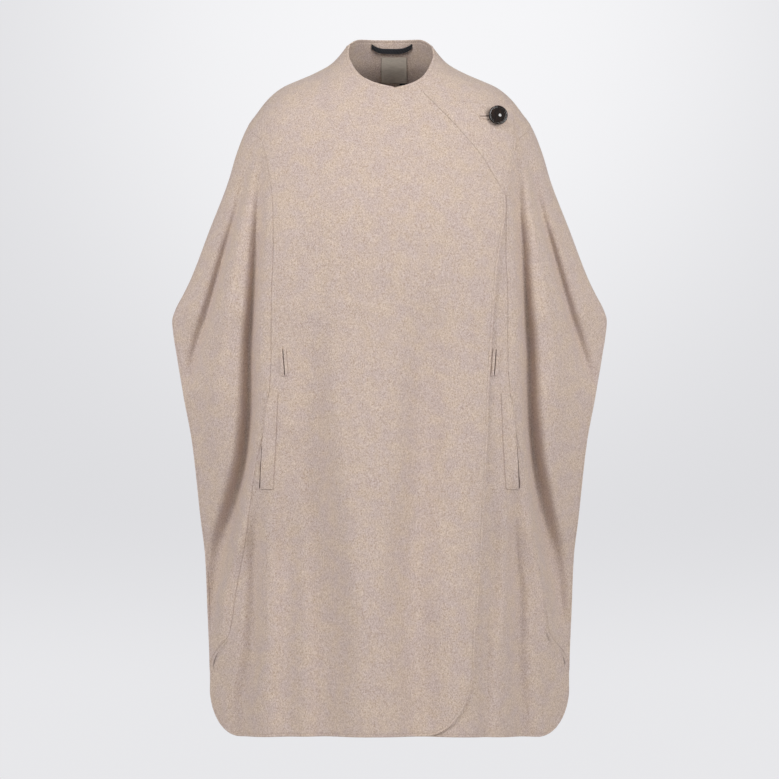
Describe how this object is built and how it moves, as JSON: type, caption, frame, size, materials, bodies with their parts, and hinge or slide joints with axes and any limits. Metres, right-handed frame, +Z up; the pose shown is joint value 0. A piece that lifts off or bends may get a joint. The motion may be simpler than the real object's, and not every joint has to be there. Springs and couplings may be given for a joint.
{
  "type": "wool cape",
  "caption": "Worn hollow wool cape with a funnel collar, a front that wraps over to the shoulder, a domed button, belt slits and welt pockets.",
  "frame": {"origin": "middle of the base of the neck, where the wearer's shoulders carry the cape", "axes": "+Z up along the body, -Y out of the front, +X to the wearer's left"},
  "size_m": [0.735, 0.3487, 1.1799],
  "materials": {
    "wool": "double-faced oatmeal melange wool with a soft nap",
    "button": "polished dark resin with a horn look",
    "tape": "black woven tape",
    "label": "plain pale woven satin, bare"
  },
  "bodies": {
    "root": {"front_right": "wool", "front_left": "wool", "front_flap": "wool", "side_right": "wool", "side_left": "wool", "back_right": "wool", "back_left": "wool", "pocket_welt_right": "wool", "pocket_welt_left": "wool", "slit_inner_right": "wool", "slit_outer_right": "wool", "slit_inner_left": "wool", "slit_outer_left": "wool", "buttonhole_upper": "wool", "buttonhole_lower": "wool", "button": "button", "hanger_loop": "tape", "size_tab": "tape", "neck_label": "label"}
  },
  "joints": []
}
